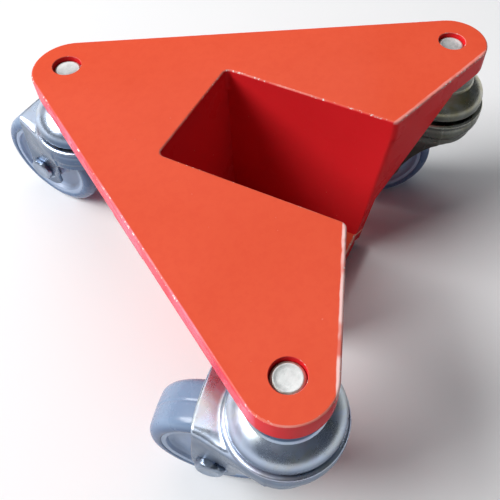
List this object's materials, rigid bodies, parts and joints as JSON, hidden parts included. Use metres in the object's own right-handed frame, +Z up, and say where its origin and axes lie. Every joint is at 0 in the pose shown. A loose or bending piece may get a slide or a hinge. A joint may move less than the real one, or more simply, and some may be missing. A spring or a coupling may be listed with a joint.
{
  "type": "furniture dolly",
  "caption": "Triangular steel furniture dolly on swivel castors, with a deep open-sided pocket in one side that takes a load's foot close to the floor.",
  "frame": {"origin": "on the floor, under the middle of the whole object's bounding box", "axes": "+Z up; +Y from the pocket's open mouth towards the apex castor; +X to the right, seen from the mouth"},
  "size_m": [0.265, 0.262, 0.11],
  "materials": {
    "paint": "glossy orange-red paint over steel",
    "zinc": "bright bluish zinc plating on pressed steel",
    "bolt_steel": "zinc-plated fastener steel",
    "steel": "plain turned steel",
    "ball_steel": "polished bearing balls",
    "bush_plastic": "plain bearing plastic",
    "hub_plastic": "smooth moulded grey-blue plastic",
    "tyre_rubber": "smooth blue-grey rubber, non-marking"
  },
  "bodies": {
    "frame": {"top_plate": "paint", "pocket_side_wall_left": "paint", "pocket_side_wall_right": "paint", "pocket_inner_wall": "paint", "pocket_floor": "paint", "gusset_left": "paint", "gusset_right": "paint", "weld_beads": "paint", "left_mounting_bolt": "bolt_steel", "left_raceway_cap": "zinc", "left_kingpin_sleeve": "steel", "left_lower_race": "steel", "left_lock_washer": "steel", "left_lock_nut": "bolt_steel", "right_mounting_bolt": "bolt_steel", "right_raceway_cap": "zinc", "right_kingpin_sleeve": "steel", "right_lower_race": "steel", "right_lock_washer": "steel", "right_lock_nut": "bolt_steel", "apex_mounting_bolt": "bolt_steel", "apex_raceway_cap": "zinc", "apex_kingpin_sleeve": "steel", "apex_lower_race": "steel", "apex_lock_washer": "steel", "apex_lock_nut": "bolt_steel"},
    "left_fork_assembly": {"left_upper_balls": "ball_steel", "left_lower_balls": "ball_steel", "left_fork": "zinc", "left_axle_bolt": "bolt_steel", "left_axle_nut": "bolt_steel", "left_axle_sleeve": "steel"},
    "left_wheel": {"left_wheel_bush": "bush_plastic", "left_wheel_hub": "hub_plastic", "left_tyre": "tyre_rubber"},
    "right_fork_assembly": {"right_upper_balls": "ball_steel", "right_lower_balls": "ball_steel", "right_fork": "zinc", "right_axle_bolt": "bolt_steel", "right_axle_nut": "bolt_steel", "right_axle_sleeve": "steel"},
    "right_wheel": {"right_wheel_bush": "bush_plastic", "right_wheel_hub": "hub_plastic", "right_tyre": "tyre_rubber"},
    "apex_fork_assembly": {"apex_upper_balls": "ball_steel", "apex_lower_balls": "ball_steel", "apex_fork": "zinc", "apex_axle_bolt": "bolt_steel", "apex_axle_nut": "bolt_steel", "apex_axle_sleeve": "steel"},
    "apex_wheel": {"apex_wheel_bush": "bush_plastic", "apex_wheel_hub": "hub_plastic", "apex_tyre": "tyre_rubber"}
  },
  "joints": [
    {"name": "left_swivel", "type": "hinge", "parent": "frame", "child": "left_fork_assembly", "pos_m": [-0.106, -0.10452, 0.0975], "axis": [0, 0, 1], "continuous": true},
    {"name": "left_roll", "type": "hinge", "parent": "left_fork_assembly", "child": "left_wheel", "pos_m": [-0.1118, -0.07468, 0.03175], "axis": [-0.9816, -0.1908, 0], "continuous": true},
    {"name": "right_swivel", "type": "hinge", "parent": "frame", "child": "right_fork_assembly", "pos_m": [0.106, -0.10452, 0.0975], "axis": [0, 0, 1], "continuous": true},
    {"name": "right_roll", "type": "hinge", "parent": "right_fork_assembly", "child": "right_wheel", "pos_m": [0.0908, -0.07819, 0.03175], "axis": [-0.866, -0.5, 0], "continuous": true},
    {"name": "apex_swivel", "type": "hinge", "parent": "frame", "child": "apex_fork_assembly", "pos_m": [0, 0.06848, 0.0975], "axis": [0, 0, 1], "continuous": true},
    {"name": "apex_roll", "type": "hinge", "parent": "apex_fork_assembly", "child": "apex_wheel", "pos_m": [0.00265, 0.09876, 0.03175], "axis": [-0.9962, 0.0872, 0], "continuous": true}
  ]
}
